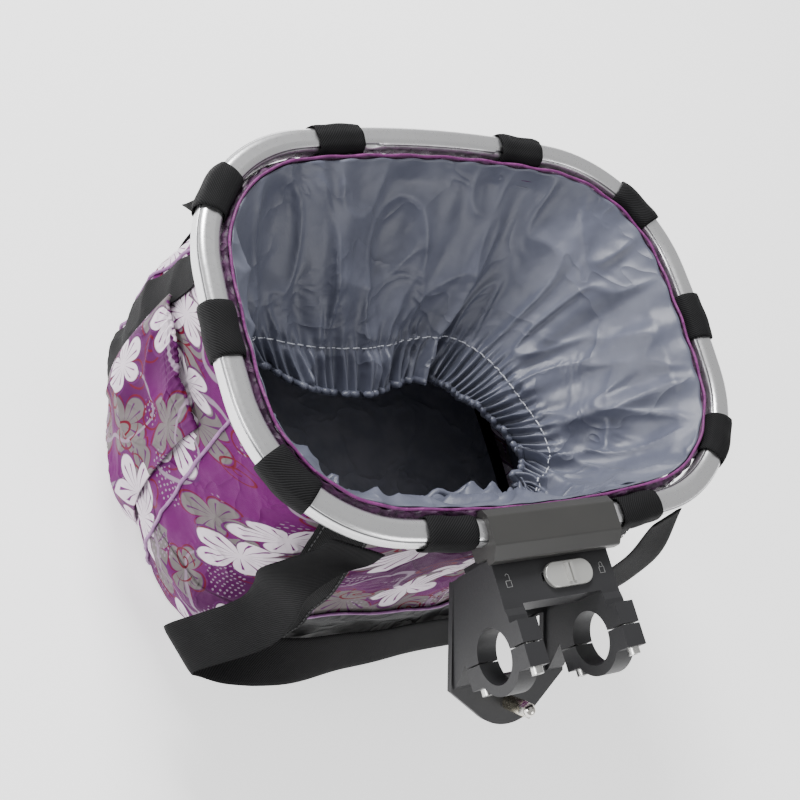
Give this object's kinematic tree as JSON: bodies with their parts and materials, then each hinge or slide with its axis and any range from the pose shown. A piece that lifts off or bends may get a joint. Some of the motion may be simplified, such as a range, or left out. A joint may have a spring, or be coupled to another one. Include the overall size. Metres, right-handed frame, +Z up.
{
  "type": "handlebar basket",
  "caption": "Soft-sided bicycle handlebar basket: cloth bag hung from an oval aluminium rim tube, with a quick-release bracket that clamps a handlebar.",
  "frame": {"origin": "on the surface that the basket stands on, under the middle of the rim", "axes": "+Z up, +X along the handlebar to the right, the bracket at -Y"},
  "size_m": [0.4, 0.3727, 0.2206],
  "materials": {
    "satin_aluminium": "satin anodised",
    "black_webbing": "twill webbing",
    "printed_cloth": "printed polyester",
    "black_cloth": "coated polyester",
    "grey_lining": "nylon lining",
    "dark_board": "fibre board in cloth",
    "purple_binding": "folded tape",
    "saddle_plastic": "smooth moulded",
    "adapter_plastic": "fine textured moulding",
    "silver_slide": "satin silver",
    "zinc_steel": "zinc plated",
    "chrome_steel": "polished",
    "brass_spacer": "turned"
  },
  "bodies": {
    "basket": {"base_board": "dark_board", "base_panel": "black_cloth", "drawstring_skirt": "grey_lining", "end_pocket_left": "printed_cloth", "end_pocket_right": "printed_cloth", "lining": "grey_lining", "lower_band": "black_cloth", "mouth_binding": "purple_binding", "outer_shell": "printed_cloth", "pocket_elastic_left": "purple_binding", "pocket_elastic_right": "purple_binding", "rim_joiner": "satin_aluminium", "rim_tube": "satin_aluminium", "saddle_lower": "saddle_plastic", "saddle_screws": "zinc_steel", "saddle_upper": "saddle_plastic", "sewn_strap_front_left": "black_webbing", "sewn_strap_front_right": "black_webbing", "sewn_strap_rear_left": "black_webbing", "sewn_strap_rear_right": "black_webbing", "skirt_hem": "grey_lining", "webbing_loop_end_left": "black_webbing", "webbing_loop_end_right": "black_webbing", "webbing_loop_front_corner_left": "black_webbing", "webbing_loop_front_corner_right": "black_webbing", "webbing_loop_front_inner_left": "black_webbing", "webbing_loop_front_inner_right": "black_webbing", "webbing_loop_rear_corner_left": "black_webbing", "webbing_loop_rear_corner_right": "black_webbing", "webbing_loop_rear_inner_left": "black_webbing", "webbing_loop_rear_inner_right": "black_webbing"},
    "adapter": {"adapter_body": "adapter_plastic", "clamp_cap_left": "adapter_plastic", "clamp_cap_right": "adapter_plastic", "clamp_screws": "zinc_steel", "tip_bolt": "zinc_steel", "tip_spacer": "brass_spacer", "dome_nut": "chrome_steel"},
    "slide_lock": {"slide_button": "silver_slide", "latch_bar": "zinc_steel", "latch_screw": "zinc_steel"},
    "handle_front": {"carry_handle_front": "black_webbing"},
    "handle_rear": {"carry_handle_rear": "black_webbing"}
  },
  "joints": [
    {"name": "lift_off", "type": "slide", "parent": "basket", "child": "adapter", "axis": [0, 0, -1], "range_m": [0, 0.034]},
    {"name": "slide_travel", "type": "slide", "parent": "adapter", "child": "slide_lock", "axis": [-1, 0, 0], "range_m": [0, 0.016]},
    {"name": "handle_front_swing", "type": "hinge", "parent": "basket", "child": "handle_front", "pos_m": [0, -0.1475, 0.197], "axis": [-1, 0, 0], "range_deg": [0, 165]},
    {"name": "handle_rear_swing", "type": "hinge", "parent": "basket", "child": "handle_rear", "pos_m": [0, 0.1475, 0.197], "axis": [1, 0, 0], "range_deg": [0, 165]}
  ]
}
